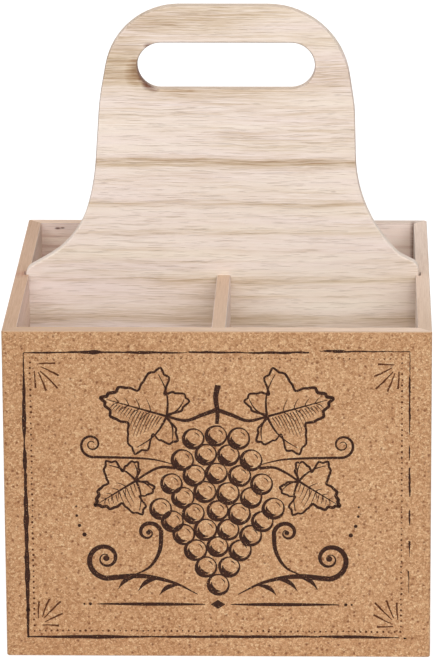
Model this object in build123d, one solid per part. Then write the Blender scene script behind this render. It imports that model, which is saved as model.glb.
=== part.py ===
from build123d import *
import os
from math import radians, tan

# Four-bottle caddy of thin boards. A square box with mitred corners has a cork sheet glued over its front. Two
# boards cross inside it, halved over each other and housed in grooves in the walls. One of them rises above
# the rim as the handle, with swept shoulders and an oblong grip slot. The base sits in a rebate round the
# walls' lower inside edge. Brads pin the mitres and the base, and the cork hides the heads of those in front.
#
# Millimetres, +Z up. The origin is on the floor at the middle of the box, the front faces -Y, and +X is to
# the right of someone who looks at the front.

# Outside of the finished box
box_width = 200.0
box_depth = 200.0
box_height = 159.7
corner_radius = 1.5

# Boards, and the cork sheet on the front wall
wall_thickness = 6.7
cork_thickness = 1.8
divider_thickness = 6.6
handle_thickness = 6.5
base_thickness = 5.0

# Joints. The side walls' grooves are deeper than the handle board's ends reach
joint_clearance = 0.1
handle_groove_depth = 2.6
handle_end_gap = 1.0
divider_groove_depth = 1.5
rebate_depth = 3.0
lap_share = 0.5

# The divider stands a little to the right of the middle
divider_shift = 0.8

# Handle board above the rim. Each side has corners at the top, knee, waist, flare and tip, rounded by their
# radii. Reaches go out from the middle of the box, rises go up from the rim, and the flare lies at a share of
# the way out from waist to tip. The board was shaped by eye, so its two sides differ a little
handle_rise = 132.7
left_top_reach = 50.0
left_top_radius = 35.8
left_knee_reach = 58.3
left_knee_rise = 87.0
left_knee_radius = 117.5
left_waist_reach = 61.2
left_waist_rise = 45.8
left_waist_radius = 111.9
left_flare_share = 0.24
left_flare_rise = 17.3
left_flare_radius = 41.8
left_tip_rise = 2.7
right_top_reach = 56.3
right_top_radius = 39.7
right_knee_reach = 63.9
right_knee_rise = 82.7
right_knee_radius = 62.1
right_waist_reach = 65.0
right_waist_rise = 33.2
right_waist_radius = 69.2
right_flare_share = 0.668
right_flare_rise = 10.4
right_flare_radius = 15.0
right_tip_rise = 5.4
tip_radius = 5.5
largest_run_share = 0.98

# Grip slot, a little to the right of the middle, and the wood left above it
grip_width = 84.8
grip_height = 22.6
grip_shift = 2.4
grip_top_margin = 18.0

# Eased edges
handle_easing = 0.9
rim_easing = 0.5
outer_easing = 0.4

# Brads, of rectangular wire with a small flat head and a chisel point
brad_length = 16.0
brad_width = 1.25
brad_gauge = 1.0
brad_head_width = 2.0
brad_head_thickness = 0.5
brad_point_length = 1.6
brad_point_width = 0.3
corner_brad_margin = 24.0
corner_brad_rows = 3
base_brad_spacing = 100.0

# One overrun for every cut
overrun = 1.0

# Places that follow from the sizes above. Every piece is laid out about the middle of the wooden box, which
# the cork puts behind the middle of the finished one
wood_depth = box_depth - cork_thickness
wood_middle = cork_thickness / 2
inner_width = box_width - 2 * wall_thickness
inner_depth = wood_depth - 2 * wall_thickness
handle_height = box_height + handle_rise
lap_height = base_thickness + lap_share * (box_height - base_thickness)
handle_groove_width = handle_thickness + 2 * joint_clearance
divider_groove_width = divider_thickness + 2 * joint_clearance


def prism(outline, bottom, top):
    """Solid between two heights over a closed outline seen from above."""
    return extrude(Plane.XY.offset(bottom) * outline, top - bottom)


def block(x_range, y_range, z_range):
    """Box between three pairs of limits."""
    low = Vector(x_range[0], y_range[0], z_range[0])
    high = Vector(x_range[1], y_range[1], z_range[1])
    size = high - low
    return Pos(*((low + high) / 2)) * Box(size.X, size.Y, size.Z)


def span(length, middle=0.0):
    """Limits of a length about its middle."""
    return middle - length / 2, middle + length / 2


def mitred_side(length, distance, thickness):
    """Trapezium of the front side of a frame, its long edge outside and its ends cut at 45 degrees."""
    outer = length / 2
    inner = outer - thickness
    points = [(-outer, -distance), (outer, -distance), (inner, thickness - distance), (-inner, thickness - distance)]
    return make_face(Polyline(*points, close=True))


def turned(shape, quarter_turns):
    """Shape carried round the vertical axis by quarter turns."""
    return Rot(0, 0, 90 * quarter_turns) * shape


def finished_outside():
    """Whole space of the box, rounded at its corners and eased along its outer top and bottom edges."""
    outside = prism(RectangleRounded(box_width, box_depth, corner_radius), 0, box_height)
    ends = outside.edges().group_by(Axis.Z)
    return Pos(0, -wood_middle) * fillet(ends[0] + ends[-1], outer_easing)


def wall_board(length, distance, quarter_turns, groove, outside):
    """Mitred wall with its rebate, the groove of the board that it houses and an eased inside top edge."""
    groove_width, groove_depth, groove_place = groove
    board = prism(mitred_side(length, distance, wall_thickness), 0, box_height)
    inner_face = wall_thickness - distance
    top_edges = board.edges().filter_by(Axis.X).group_by(Axis.Z)[-1]
    board = fillet(top_edges.sort_by(Axis.Y)[-1], rim_easing)
    board -= block(span(length), (inner_face - rebate_depth, inner_face + overrun), (-overrun, base_thickness))
    board -= block(
        span(groove_width, groove_place),
        (inner_face - groove_depth, inner_face + overrun),
        (-overrun, box_height + overrun),
    )
    return turned(board, quarter_turns) & outside


def cork_sheet(outside):
    """Cork over the whole front of the box."""
    face = -wood_depth / 2
    slab = block(span(box_width), (face - cork_thickness, face), (0, box_height))
    return slab & outside


def base_board():
    """Floor of the box, let into the walls' rebate and flush with their lower edges."""
    grow = 2 * (rebate_depth - joint_clearance)
    return prism(Rectangle(inner_width + grow, inner_depth + grow), 0, base_thickness)


def fitted_radii(points, radii):
    """Radii at the corners of a line, made smaller where two of them would use up the run between them."""
    runs = [Vector(*end) - Vector(*start) for start, end in zip(points, points[1:])]
    turns = [radians(before.get_angle(after)) for before, after in zip(runs, runs[1:])]
    used = [0, *(radius * tan(turn / 2) for radius, turn in zip(radii, turns)), 0]
    room = [largest_run_share * run.length / (start + end) for run, start, end in zip(runs, used, used[1:])]
    return [radius * min(1, before, after) for radius, before, after in zip(radii, room, room[1:])]


def handle_side(side, top, knee, waist, flare, tip_rise):
    """Corners from foot to top and their radii, of the handle's left side with -1 or of its right side with 1."""
    tip_reach = inner_width / 2 + handle_groove_depth - handle_end_gap
    flare_share, flare_rise, flare_radius = flare
    flare_reach = waist[0] + flare_share * (tip_reach - waist[0])
    corners = (
        (tip_reach, tip_rise, tip_radius),
        (flare_reach, flare_rise, flare_radius),
        waist,
        knee,
        (top[0], handle_rise, top[1]),
    )
    points = [(side * reach, box_height + rise) for reach, rise, radius in corners]
    return [(side * tip_reach, base_thickness)] + points, [radius for reach, rise, radius in corners]


def handle_outline():
    """Front view of the handle board: ends in the grooves, swept shoulders, leaning sides and a round top."""
    left, left_radii = handle_side(
        -1,
        (left_top_reach, left_top_radius),
        (left_knee_reach, left_knee_rise, left_knee_radius),
        (left_waist_reach, left_waist_rise, left_waist_radius),
        (left_flare_share, left_flare_rise, left_flare_radius),
        left_tip_rise,
    )
    right, right_radii = handle_side(
        1,
        (right_top_reach, right_top_radius),
        (right_knee_reach, right_knee_rise, right_knee_radius),
        (right_waist_reach, right_waist_rise, right_waist_radius),
        (right_flare_share, right_flare_rise, right_flare_radius),
        right_tip_rise,
    )
    points = left + right[::-1]
    outline = FilletPolyline(*points, radius=fitted_radii(points, left_radii + right_radii[::-1]))
    return make_face(outline.edges() + Line(outline @ 1, outline @ 0).edges())


def handle_board():
    """Handle board, with its edges eased, its grip slot and the lap slot that straddles the divider."""
    grip_middle = handle_height - grip_top_margin - grip_height / 2
    face = handle_outline() - Pos(grip_shift, grip_middle) * SlotOverall(grip_width, grip_height)
    board = extrude(Plane.XZ * face, handle_thickness / 2, both=True)
    arrises = board.edges().filter_by(Axis.Y, reverse=True)
    arrises = arrises.filter_by(lambda edge: edge.center().Z > base_thickness + handle_easing)
    board = fillet(arrises, handle_easing)
    lap_top = lap_height + joint_clearance
    return board - block(
        span(divider_groove_width, divider_shift),
        span(handle_thickness + 2 * overrun),
        (base_thickness - overrun, lap_top),
    )


def cross_divider():
    """Divider from front to back, flush with the rim, with its lap slot open at the top."""
    length = inner_depth + 2 * (divider_groove_depth - joint_clearance)
    board = block(span(divider_thickness, divider_shift), span(length), (base_thickness, box_height))
    board = fillet(board.edges().filter_by(Axis.Y).group_by(Axis.Z)[-1], rim_easing)
    return board - block(
        span(divider_thickness + 2 * overrun, divider_shift),
        span(handle_groove_width),
        (lap_height, box_height + overrun),
    )


def brad():
    """Brad driven towards +Y from its head's outer face at the origin, its wider side upright."""
    half = brad_width / 2
    shank_end = brad_length - brad_point_length
    point = brad_point_width / 2
    side = [(-half, 0), (half, 0), (half, shank_end), (point, brad_length), (-point, brad_length), (-half, shank_end)]
    wire = extrude(Plane.YZ * (Rot(0, 0, -90) * make_face(Polyline(*side, close=True))), brad_gauge / 2, both=True)
    head = block(span(brad_gauge), (0, brad_head_thickness), span(brad_head_width))
    return wire + head


def corner_brads():
    """Brads through the ends of the front and back walls into the side walls."""
    across = box_width / 2 - wall_thickness / 2
    step = (box_height - 2 * corner_brad_margin) / (corner_brad_rows - 1)
    placed = []
    for quarter_turns in (0, 2):
        for x in (-across, across):
            for row in range(corner_brad_rows):
                place = Pos(x, -wood_depth / 2, corner_brad_margin + row * step)
                placed.append(turned(place * brad(), quarter_turns))
    return placed


def base_brads():
    """Brads through the walls' lower edges into the edges of the base, two in each side."""
    placed = []
    for quarter_turns, distance in enumerate((wood_depth, box_width) * 2):
        for x in span(base_brad_spacing):
            place = Pos(x, -distance / 2, base_thickness / 2)
            placed.append(turned(place * (Rot(0, 90, 0) * brad()), quarter_turns))
    return placed


def without(solid, cutters):
    """Solid with the pockets that the given pieces fill."""
    for cutter in cutters:
        solid -= cutter
    return solid


os.makedirs("parts", exist_ok=True)

corner_pins = corner_brads()
base_pins = base_brads()
pins = corner_pins + base_pins

# Grooves as width, depth and place along the wall's outside face
handle_groove = (handle_groove_width, handle_groove_depth, 0)
front_groove = (divider_groove_width, divider_groove_depth, divider_shift)
back_groove = (divider_groove_width, divider_groove_depth, -divider_shift)

# Walls in order round the box, each a quarter turn on from the front
walls = (
    ("front", box_width, wood_depth, front_groove),
    ("right", wood_depth, box_width, handle_groove),
    ("back", box_width, wood_depth, back_groove),
    ("left", wood_depth, box_width, handle_groove),
)
outside = finished_outside()
pieces = {"front_cork": cork_sheet(outside)}
for quarter_turns, (name, length, depth, groove) in enumerate(walls):
    panel = wall_board(length, depth / 2, quarter_turns, groove, outside)
    pieces[name + "_panel"] = without(panel, pins)

pieces["base_panel"] = without(base_board(), base_pins)
pieces["handle_board"] = handle_board()
pieces["cross_divider"] = cross_divider()
pieces["corner_brads"] = Compound(corner_pins)
pieces["base_brads"] = Compound(base_pins)

for name, piece in pieces.items():
    export_step(Pos(0, wood_middle) * piece, f"parts/{name}.step")
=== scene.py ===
"""Looks of the four-bottle caddy: pale wood boards, and a cork sheet on the front with a brown-black print.

The boards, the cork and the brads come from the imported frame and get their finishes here. The print is made of
thin closed strokes that lie on the cork. Metres, +Z up, and the front faces -Y. The print alone is laid out in
millimetres, across and up the front, before it is put on the cork.
"""

import logging
from collections.abc import Sequence
from dataclasses import dataclass
from enum import Enum

import bpy
import numpy as np
from mathutils import Matrix


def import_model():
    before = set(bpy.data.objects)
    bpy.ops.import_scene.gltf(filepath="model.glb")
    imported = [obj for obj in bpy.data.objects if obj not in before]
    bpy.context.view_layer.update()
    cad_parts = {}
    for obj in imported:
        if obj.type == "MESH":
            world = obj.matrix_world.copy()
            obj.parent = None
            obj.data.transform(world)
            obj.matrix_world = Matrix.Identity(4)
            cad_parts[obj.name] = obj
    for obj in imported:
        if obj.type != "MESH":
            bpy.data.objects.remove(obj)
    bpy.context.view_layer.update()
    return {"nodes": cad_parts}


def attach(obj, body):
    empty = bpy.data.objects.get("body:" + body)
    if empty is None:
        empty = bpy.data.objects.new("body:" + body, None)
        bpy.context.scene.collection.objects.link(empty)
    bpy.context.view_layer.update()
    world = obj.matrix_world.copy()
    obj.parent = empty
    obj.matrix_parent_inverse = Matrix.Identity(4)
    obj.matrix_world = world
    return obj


Array = np.ndarray
Colour = tuple[float, float, float]
Point = tuple[float, float, float]
Span = tuple[float, float]
Flat = tuple[float, float]
Socket = bpy.types.NodeSocket
Inputs = dict[str | int, object]

LOG = logging.getLogger("bottle_caddy")
HALF_WIDTH = 0.1
MILLIMETRES = 1000
UNSCALED = (1.0, 1.0, 1.0)
WHITE = (1.0, 1.0, 1.0, 1.0)


def linear(colour: Colour) -> tuple[float, float, float, float]:
    """Turns an sRGB colour, 0 to 255 a channel, into the linear colour with alpha that a shader takes.

    A channel c up to 0.04045 is divided by 12.92, and above that it is ((c + 0.055) / 1.055) to the power 2.4.

    Args:
        colour: Red, green and blue from 0 to 255.

    Returns:
        Linear red, green and blue, and an alpha of 1.
    """
    share = np.array(colour, float) / 255
    low = share / 12.92
    high = ((share + 0.055) / 1.055) ** 2.4
    return (*map(float, np.where(share <= 0.04045, low, high)), 1.0)


def linked(name: str, data: bpy.types.ID) -> bpy.types.Object:
    """Makes an object of a mesh, lamp or camera and puts it in the scene."""
    made = bpy.data.objects.new(name, data)
    bpy.context.scene.collection.objects.link(made)
    return made


class Grain(Enum):
    """Which way a board's grain runs. The value orders x, y and z as along, across and through the grain."""

    ALONG_X = ("X", "Z", "Y")
    ALONG_Y = ("Y", "Z", "X")
    FLAT_X = ("X", "Y", "Z")


@dataclass(frozen=True)
class Noise:
    """Smooth noise: lumps per metre along each axis, how many finer layers it has and how strong each is."""

    scale: Point
    detail: float = 2.0
    rough: float = 0.5


@dataclass(frozen=True)
class Band:
    """Darker growth band: its height on the board, how far it reaches up and down, and its strength."""

    height: float
    reach: float
    strength: float


@dataclass(frozen=True)
class Spot:
    """Oval place on a board where its figuring, a stain, painted light or painted shade is stronger.

    soft is the share of its reach over which it fades. A spot with cut_edge lies on the board's cut edges only.
    """

    centre: Point
    reach: Point
    strength: float
    soft: float = 1.0
    cut_edge: bool = False


class Graph:
    """Shader nodes of a material or the world, with a short call for each kind that is used here."""

    def __init__(self, owner: bpy.types.Material | bpy.types.World) -> None:
        """Empties the nodes of a new material or world."""
        self.owner = owner
        owner.use_nodes = True
        self.tree = owner.node_tree
        self.tree.nodes.clear()

    def node(self, kind: str, inputs: Inputs | None = None, **settings: object) -> bpy.types.Node:
        """Adds a node.

        Args:
            kind: The node's type without its ShaderNode prefix.
            inputs: Names or numbers of its inputs, each with the output or constant that goes in.
            settings: Properties of the node and their values.

        Returns:
            The new node.
        """
        node = self.tree.nodes.new("ShaderNode" + kind)
        for key, value in settings.items():
            setattr(node, key, value)
        for key, value in (inputs or {}).items():
            if isinstance(value, bpy.types.NodeSocket):
                self.tree.links.new(value, node.inputs[key])
            else:
                node.inputs[key].default_value = value
        return node

    def place(self) -> Socket:
        """Gives the point on the surface in metres, which is the same in every view."""
        return self.node("TexCoord").outputs["Object"]

    def facing(self) -> bpy.types.NodeOutputs:
        """Gives the X, Y and Z of the surface's own direction."""
        return self.parts(self.node("TexCoord").outputs["Normal"])

    def parts(self, point: Socket) -> bpy.types.NodeOutputs:
        """Splits a point into its X, Y and Z."""
        return self.node("SeparateXYZ", {0: point}).outputs

    def math(self, operation: str, *values: object) -> Socket:
        """Works out one step of arithmetic, such as ABSOLUTE, on one or two sockets or numbers."""
        return self.node("Math", dict(enumerate(values)), operation=operation).outputs[0]

    def total(self, *terms: object) -> Socket:
        """Adds up sockets or numbers from left to right."""
        result = terms[0]
        for term in terms[1:]:
            result = self.math("ADD", result, term)
        return result

    def times(self, *factors: object) -> Socket:
        """Multiplies sockets or numbers from left to right."""
        result = factors[0]
        for factor in factors[1:]:
            result = self.math("MULTIPLY", result, factor)
        return result

    def moved(self, point: Socket, step: Socket) -> Socket:
        """Moves a point by a step."""
        return self.node("VectorMath", {0: point, 1: step}, operation="ADD").outputs[0]

    def scaled(self, point: Socket, scale: Point, shift: Point = (0.0, 0.0, 0.0)) -> Socket:
        """Multiplies a point by a factor along each axis and then adds a shift."""
        return self.node("Mapping", {"Vector": point, "Scale": scale, "Location": shift}).outputs[0]

    def remap(self, value: object, low: float, high: float, start: float = 0.0, end: float = 1.0) -> Socket:
        """Carries a range onto another one in a straight line and holds it at the ends.

        Args:
            value: What is carried.
            low: Where the range starts.
            high: Where it ends.
            start: What low becomes.
            end: What high becomes.

        Returns:
            The carried value.
        """
        return self.node("MapRange", dict(enumerate((value, low, high, start, end)))).outputs[0]

    def noise(self, point: Socket, noise: Noise) -> Socket:
        """Reads smooth noise, which is from about 0.3 to 0.7, and spreads it over 0 to 1."""
        inputs = {"Vector": self.scaled(point, noise.scale), "Scale": 1.0}
        node = self.node("TexNoise", {**inputs, "Detail": noise.detail, "Roughness": noise.rough})
        return self.remap(node.outputs[0], 0.3, 0.7)

    def ramp(self, value: object, stops: Sequence[tuple[float, Sequence[float]]]) -> Socket:
        """Turns a value into a colour by a row of stops.

        Args:
            value: A value from 0 to 1.
            stops: Each stop's place and its linear colour with alpha, in rising order.

        Returns:
            The colour.
        """
        node = self.node("ValToRGB", {0: value})
        elements = node.color_ramp.elements
        while len(elements) < len(stops):
            elements.new(1.0)
        for element, (place, colour) in zip(elements, stops):
            element.position = place
            element.color = colour
        return node.outputs[0]

    def mix(self, share: object, first: object, second: object, blend: str = "MIX") -> Socket:
        """Mixes two colours. The share is that of the second, which MULTIPLY lays over the first as a tint."""
        node = self.node("Mix", {0: share, 6: first, 7: second}, data_type="RGBA", blend_type=blend)
        return node.outputs[2]

    def coat(self, share: object, colour: Socket, paint: Colour) -> Socket:
        """Lays an sRGB colour over another colour, as far as its share says."""
        return self.mix(share, colour, linear(paint))

    def spot(self, point: Socket, spot: Spot) -> Socket:
        """Reads a soft oval spot: 1 less the distance from its centre, each axis being measured in its reach.

        Args:
            point: Where it is read.
            spot: The spot.

        Returns:
            A value from 0 outside to the spot's strength in the middle.
        """
        scale = tuple(1 / length for length in spot.reach)
        shift = tuple(-middle / length for middle, length in zip(spot.centre, spot.reach))
        node = self.node("VectorMath", {0: self.scaled(point, scale, shift)}, operation="LENGTH")
        return self.times(self.remap(node.outputs["Value"], 1.0, 1.0 - spot.soft), spot.strength)

    def finish(
        self, colour: Socket, rough: object, height: Socket, depth: float,
        sheen: float = 0.0, gloss: float = 0.25, metal: float = 0.0,
    ) -> bpy.types.Material:
        """Joins colour, roughness and relief to the surface.

        Args:
            colour: The surface's colour.
            rough: Its roughness.
            height: Its relief, from 0 to 1.
            depth: How deep the relief is, in metres.
            sheen: How strongly loose fibres catch the light.
            gloss: How strongly the surface mirrors, half being usual.
            metal: 1 for bare metal.

        Returns:
            The finished material.
        """
        bump = self.node("Bump", {"Strength": 1.0, "Distance": depth, "Height": height})
        look = {"Base Color": colour, "Roughness": rough, "Normal": bump.outputs[0], "Metallic": metal}
        shader = self.node("BsdfPrincipled", {**look, "Specular IOR Level": gloss, "Sheen Weight": sheen})
        self.node("OutputMaterial", {"Surface": shader.outputs[0]})
        return self.owner


@dataclass(frozen=True)
class WoodPattern:
    """What the grain of all boards shares.

    A span is where a value starts and ends to count, and a range what it then becomes. Four numbers are a span
    and its range. A share is how far a colour is laid over the one beneath. up, sloping, cut, off_flat,
    off_square, near, far and stain_and_shade_cut are spans of the surface's direction, and sweep_top is one of
    height.
    """

    sway: Noise = Noise((10, 14, 14))
    ripple: Noise = Noise((85, 130, 130))
    ripple_size: float = 0.28
    tone: Noise = Noise((4, 50, 50))
    coarse: Noise = Noise((24, 420, 420))
    fine: Noise = Noise((46, 2000, 2000), 3.0, 0.7)
    broad: Noise = Noise((9, 75, 75))
    broad_span: Span = (0.15, 0.85)
    fine_range: Span = (0.5, 1.3)
    lines: Noise = Noise((36, 1300, 1300), 3.0, 0.65)
    streak_span: Span = (0.1, 0.9)
    band_range: Span = (0.3, 1.5)
    figure_range: Span = (0.6, 1.4)
    ramp_places: tuple[float, ...] = (0.0, 0.3, 0.62, 1.0)
    ramp_bands: int = 10
    band_margin: float = 0.001
    tint: Noise = Noise((7, 110, 110))
    pores: Noise = Noise((90, 3200, 3200), 1.0)
    pore_span: Span = (0.84, 1.0)
    pore_share: float = 0.3
    up: Span = (0.86, 0.97)
    edge_span: Span = (0.2, 0.9)
    sweep_top: Span = (0.205, 0.19)
    sloping: Span = (0.1, 0.25)
    cut: Span = (0.85, 0.5)
    off_flat: Span = (0.0, 0.12)
    off_square: Span = (0.93, 0.7)
    near: Span = (-0.1, -0.3)
    near_up: tuple[float, ...] = (0.2, 0.5, 1.0, 0.2)
    far: tuple[float, ...] = (0.1, 0.3, 0.0, 1.5)
    stain_and_shade_span: Span = (0.1, 0.7)
    stain_and_shade_range: Span = (0.6, 1.0)
    stain_and_shade_cut: Span = (0.75, 0.3)
    relief: tuple[float, float, float] = (-0.5, -0.25, -0.6)
    relief_depth: float = 0.00012
    rough: Span = (0.55, 0.72)
    fibres: float = 0.05


@dataclass(frozen=True)
class WoodFinish:
    """Bare sanded pale wood with fine streaks, growth bands, pores, a tint on its upper edges, and painted light
    and shade.

    plank says where in the plank the board was sawn. edge is the colour of the upper edge at its left or front
    end and far_edge_painted_light that at the other end; the change from one to the other is painted light and
    shade. arris_shade is painted shade, a greyish brown on the rounded edges, which turn away from arris_axis,
    and side is painted light, a paler colour on the low sweeps of a board that has them. wave is how far streaks
    sway, in metres.
    """

    name: str
    grain: Grain = Grain.ALONG_X
    plank: Point = (0.0, 0.0, 0.0)
    light: Colour = (242, 233, 225)
    pale: Colour = (232, 219, 209)
    tan: Colour = (209, 186, 167)
    brown: Colour = (168, 131, 104)
    edge: Colour = (214, 187, 165)
    far_edge_painted_light: Colour | None = None
    edge_share: float = 0.85
    edge_grain: float = 0.36
    bands: tuple[Band, ...] = ()
    # Spots added to the shade: figuring and, where the strength is negative, painted light.
    figure_and_light: tuple[Spot, ...] = ()
    # Dark spots laid in the stain_and_shade colour: real stains and marks, and some painted shade.
    stains_and_shade: tuple[Spot, ...] = ()
    stain_and_shade: Colour = (104, 58, 34)
    # Painted shade, laid on the rounded edges.
    arris_shade: Colour = (168, 143, 128)
    arris_axis: str = "Z"
    arris_shade_share: float = 0.45
    # Painted light: a paler colour laid on the low sweeps' sloping edges.
    side: Colour = (233, 216, 202)
    sweep_light_share: float = 0.0
    warm: Colour = (255, 252, 244)
    cool: Colour = (255, 250, 252)
    tone: float = 0.16
    coarse: float = 0.09
    fine: float = 0.4
    wave: float = 0.0016
    pattern: WoodPattern = WoodPattern()

    def material(self) -> bpy.types.Material:
        """Builds the wood."""
        return WoodShader(self).build()


class WoodShader:
    """Nodes of one board's wood: what its layers share, and a method for each layer."""

    def __init__(self, finish: WoodFinish) -> None:
        """Starts the material and works out the noises that several layers read."""
        self.finish, self.pattern = finish, finish.pattern
        self.graph = graph = Graph(bpy.data.materials.new(finish.name))
        self.place = graph.place()
        self.facing = graph.facing()
        self.waved = self.swayed(self.along_grain())
        self.coarse = graph.noise(self.waved, self.pattern.coarse)
        self.fine = graph.noise(self.waved, self.pattern.fine)
        self.pores = graph.remap(graph.noise(self.waved, self.pattern.pores), *self.pattern.pore_span)

    def along_grain(self) -> Socket:
        """Gives the point as lengths along, across and through the grain, moved to its place in the plank."""
        parts = self.graph.parts(self.place)
        turned = {index: parts[axis] for index, axis in enumerate(self.finish.grain.value)}
        return self.graph.scaled(self.graph.node("CombineXYZ", turned).outputs[0], UNSCALED, self.finish.plank)

    def swayed(self, point: Socket) -> Socket:
        """Moves a point across the grain by two sizes of smooth noise, so that bands and streaks are wavy."""
        graph = self.graph
        large = graph.math("SUBTRACT", graph.noise(point, self.pattern.sway), 0.5)
        small = graph.math("SUBTRACT", graph.noise(point, self.pattern.ripple), 0.5)
        sway = graph.times(graph.total(large, graph.times(small, self.pattern.ripple_size)), self.finish.wave)
        return graph.moved(point, graph.node("CombineXYZ", {1: sway}).outputs[0])

    def band_ramp(self, height: Socket, bands: Sequence[Band]) -> Socket:
        """Strength of some bands at each height, a triangle about each band, on one ramp."""
        low = min(band.height - band.reach for band in bands) - self.pattern.band_margin
        high = max(band.height + band.reach for band in bands) + self.pattern.band_margin
        stops = [(0.0, 0.0)]
        for band in bands:
            middle, reach = (band.height - low) / (high - low), band.reach / (high - low)
            stops += [(middle - reach, 0.0), (middle, band.strength), (middle + reach, 0.0)]
        grey = [(place, (strength, strength, strength, 1.0)) for place, strength in stops]
        return self.graph.ramp(self.graph.remap(height, low, high), grey)

    def banding(self) -> Socket:
        """Strength of all growth bands at each height, with as many ramps as they need."""
        back = tuple(-value for value in self.finish.plank)
        height = self.graph.parts(self.graph.scaled(self.waved, UNSCALED, back))["Y"]
        ordered = sorted(self.finish.bands, key=lambda band: band.height)
        most = self.pattern.ramp_bands
        groups = [ordered[first : first + most] for first in range(0, len(ordered), most)]
        return self.graph.total(*(self.band_ramp(height, group) for group in groups))

    def shade(self) -> Socket:
        """Adds up tone, streaks, bands and the figure_and_light spots, 0 being the lightest wood and 1 the
        brownest; spots of negative strength lighten the wood, as painted light.
        """
        graph, finish, pattern = self.graph, self.finish, self.pattern
        broad = graph.noise(self.waved, pattern.broad)
        fine_range = (factor * finish.fine for factor in pattern.fine_range)
        shade = graph.total(
            graph.times(graph.noise(self.waved, pattern.tone), finish.tone),
            graph.times(self.coarse, finish.coarse),
            graph.times(self.fine, graph.remap(broad, *pattern.broad_span, *fine_range)),
        )
        if finish.bands:
            lines = graph.noise(self.waved, pattern.lines)
            streaky = graph.remap(lines, *pattern.streak_span, *pattern.band_range)
            shade = graph.total(shade, graph.times(self.banding(), streaky))
        streaky = graph.remap(self.fine, *pattern.streak_span, *pattern.figure_range)
        for spot in finish.figure_and_light:
            shade = graph.total(shade, graph.times(graph.spot(self.place, spot), streaky))
        return shade

    def body(self) -> Socket:
        """Gives the colour of the faces: a ramp over the shade, under a slow tint and with brown pores."""
        graph, finish, pattern = self.graph, self.finish, self.pattern
        tones = map(linear, (finish.light, finish.pale, finish.tan, finish.brown))
        colour = graph.ramp(self.shade(), list(zip(pattern.ramp_places, tones)))
        tint = graph.mix(graph.noise(self.waved, pattern.tint), linear(finish.cool), linear(finish.warm))
        colour = graph.mix(1.0, colour, tint, "MULTIPLY")
        return graph.coat(graph.times(self.pores, pattern.pore_share), colour, finish.brown)

    def upper_edges_and_painted_light(self, colour: Socket) -> Socket:
        """Tints what faces up, with some grain, from one colour at the left or front end to another; the change
        between them is painted light and shade.
        """
        graph, finish, pattern = self.graph, self.finish, self.pattern
        along = graph.remap(graph.parts(self.place)[finish.grain.value[0]], -HALF_WIDTH, HALF_WIDTH)
        # Going from edge to far_edge_painted_light paints light and shade along the board.
        edge = graph.mix(along, linear(finish.edge), linear(finish.far_edge_painted_light or finish.edge))
        grain = graph.remap(self.fine, *pattern.edge_span, 0.0, finish.edge_grain)
        upward = graph.remap(self.facing["Z"], *pattern.up, 0.0, finish.edge_share)
        return graph.mix(upward, colour, graph.coat(grain, edge, finish.brown))

    def below(self) -> Socket:
        """Gives 1 below the level where the low sweeps start, and 0 above it."""
        return self.graph.remap(self.graph.parts(self.place)["Z"], *self.pattern.sweep_top)

    def sweeps(self, colour: Socket) -> Socket:
        """Paints light on the cut edges that slope up below the level where the low sweeps start: side, a paler
        colour, where they would render shaded.
        """
        graph, pattern = self.graph, self.pattern
        sloping = graph.remap(self.facing["Z"], *pattern.sloping)
        cut = graph.remap(graph.math("ABSOLUTE", self.facing["Y"]), *pattern.cut, 0.0, self.finish.sweep_light_share)
        return graph.coat(graph.times(sloping, cut, self.below()), colour, self.finish.side)

    def shaded_arrises(self, colour: Socket) -> Socket:
        """Paints shade on the rounded edges between two faces, and on a board with sweeps only on those above
        them.
        """
        graph, finish, pattern = self.graph, self.finish, self.pattern
        lean = graph.math("ABSOLUTE", self.facing[finish.arris_axis])
        arris_shade_mask = graph.times(graph.remap(lean, *pattern.off_flat), graph.remap(lean, *pattern.off_square))
        if finish.sweep_light_share:
            near = graph.times(
                graph.remap(self.facing["Y"], *pattern.near), graph.remap(self.facing["Z"], *pattern.near_up)
            )
            far = graph.remap(self.facing["Y"], *pattern.far)
            arris_shade_mask = graph.times(arris_shade_mask, graph.total(near, far), graph.math("SUBTRACT", 1.0, self.below()))
        return graph.coat(graph.times(arris_shade_mask, finish.arris_shade_share), colour, finish.arris_shade)

    def stained_and_shaded(self, colour: Socket) -> Socket:
        """Lays the stains_and_shade spots over a colour, each ragged along the fine streaks: real stains and
        marks, and some painted shade.
        """
        graph, pattern = self.graph, self.pattern
        cut = graph.remap(graph.math("ABSOLUTE", self.facing["Y"]), *pattern.stain_and_shade_cut)
        ragged = graph.remap(self.fine, *pattern.stain_and_shade_span, *pattern.stain_and_shade_range)
        for spot in self.finish.stains_and_shade:
            share = graph.times(graph.spot(self.place, spot), ragged)
            colour = graph.coat(graph.times(share, cut) if spot.cut_edge else share, colour, self.finish.stain_and_shade)
        return colour

    def build(self) -> bpy.types.Material:
        """Lays the layers over each other and gives the material."""
        graph, pattern = self.graph, self.pattern
        colour = self.body()
        if self.finish.edge_share:
            colour = self.upper_edges_and_painted_light(colour)
        if self.finish.sweep_light_share:
            colour = self.sweeps(colour)
        colour = self.stained_and_shaded(self.shaded_arrises(colour))
        noises = (self.fine, self.coarse, self.pores)
        relief = graph.total(*(graph.times(noise, size) for noise, size in zip(noises, pattern.relief)))
        rough = graph.remap(self.fine, 0.0, 1.0, *pattern.rough)
        return graph.finish(colour, rough, relief, pattern.relief_depth, pattern.fibres)


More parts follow.
